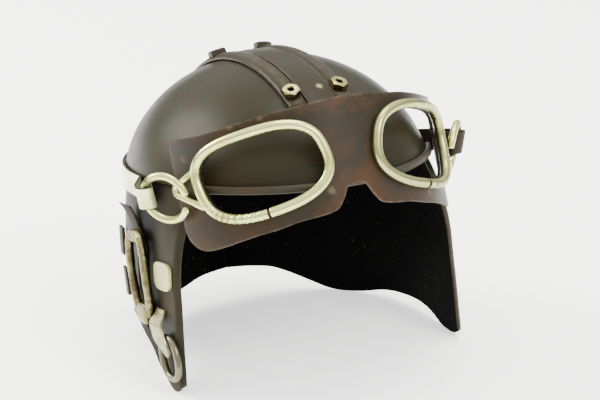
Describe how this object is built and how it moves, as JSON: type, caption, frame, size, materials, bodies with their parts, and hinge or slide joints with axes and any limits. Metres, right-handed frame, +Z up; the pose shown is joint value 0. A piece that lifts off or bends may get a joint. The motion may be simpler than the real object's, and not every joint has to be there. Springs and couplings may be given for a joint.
{
  "type": "flight helmet with goggle mask",
  "caption": "Sheet metal flight helmet: domed crown with ribs and nuts, neck guard with ear flaps, and a bent mask with open wire goggles.",
  "frame": {"origin": "on the surface it rests on, under the middle of its bounding box", "axes": "+Z up; the wearer faces -Y and the wearer's right is -X; stored as it rests on a level surface, tipped back by 7.7 degrees"},
  "size_m": [0.2194, 0.2272, 0.1832],
  "materials": {
    "buckle_loop_right": "satin pale brass, tarnished near the joints",
    "buckle_strap_right": "satin pale brass, tarnished near the joints",
    "crown_panel": "satin dark olive brown, worn",
    "crown_rib_left": "satin dark olive brown, worn",
    "crown_rib_right": "satin dark olive brown, worn",
    "crown_shell": "satin dark olive brown, worn",
    "ear_loop_left": "satin pale brass, tarnished near the joints",
    "ear_loop_right": "satin pale brass, tarnished near the joints",
    "ear_strap_left": "dull dark brown",
    "ear_strap_right": "dull dark brown",
    "front_clip_right": "satin pale brass, tarnished near the joints",
    "front_nut_left": "satin pale brass, tarnished near the joints",
    "front_nut_right": "satin pale brass, tarnished near the joints",
    "goggle_plate": "satin dark brown, edges rubbed",
    "goggle_rim_left": "satin pale brass, tarnished near the joints",
    "goggle_rim_right": "satin pale brass, tarnished near the joints",
    "goggle_strap": "satin pale brass, tarnished near the joints",
    "jump_ring_left": "satin pale brass, tarnished near the joints",
    "jump_ring_right": "satin pale brass, tarnished near the joints",
    "lower_tab_left": "dull dark brown",
    "lower_tab_right": "dull dark brown",
    "neck_guard_left": "satin dark olive brown, worn",
    "neck_guard_right": "satin dark olive brown, worn",
    "rear_nut_left": "satin pale brass, tarnished near the joints",
    "rear_nut_right": "satin pale brass, tarnished near the joints",
    "upper_tab_left": "dull dark brown",
    "upper_tab_right": "dull dark brown"
  },
  "bodies": {
    "root": {"buckle_loop_right": "buckle_loop_right", "buckle_strap_right": "buckle_strap_right", "crown_panel": "crown_panel", "crown_rib_left": "crown_rib_left", "crown_rib_right": "crown_rib_right", "crown_shell": "crown_shell", "ear_loop_left": "ear_loop_left", "ear_loop_right": "ear_loop_right", "ear_strap_left": "ear_strap_left", "ear_strap_right": "ear_strap_right", "front_clip_right": "front_clip_right", "front_nut_left": "front_nut_left", "front_nut_right": "front_nut_right", "goggle_plate": "goggle_plate", "goggle_rim_left": "goggle_rim_left", "goggle_rim_right": "goggle_rim_right", "goggle_strap": "goggle_strap", "jump_ring_left": "jump_ring_left", "jump_ring_right": "jump_ring_right", "lower_tab_left": "lower_tab_left", "lower_tab_right": "lower_tab_right", "neck_guard_left": "neck_guard_left", "neck_guard_right": "neck_guard_right", "rear_nut_left": "rear_nut_left", "rear_nut_right": "rear_nut_right", "upper_tab_left": "upper_tab_left", "upper_tab_right": "upper_tab_right"}
  },
  "joints": []
}
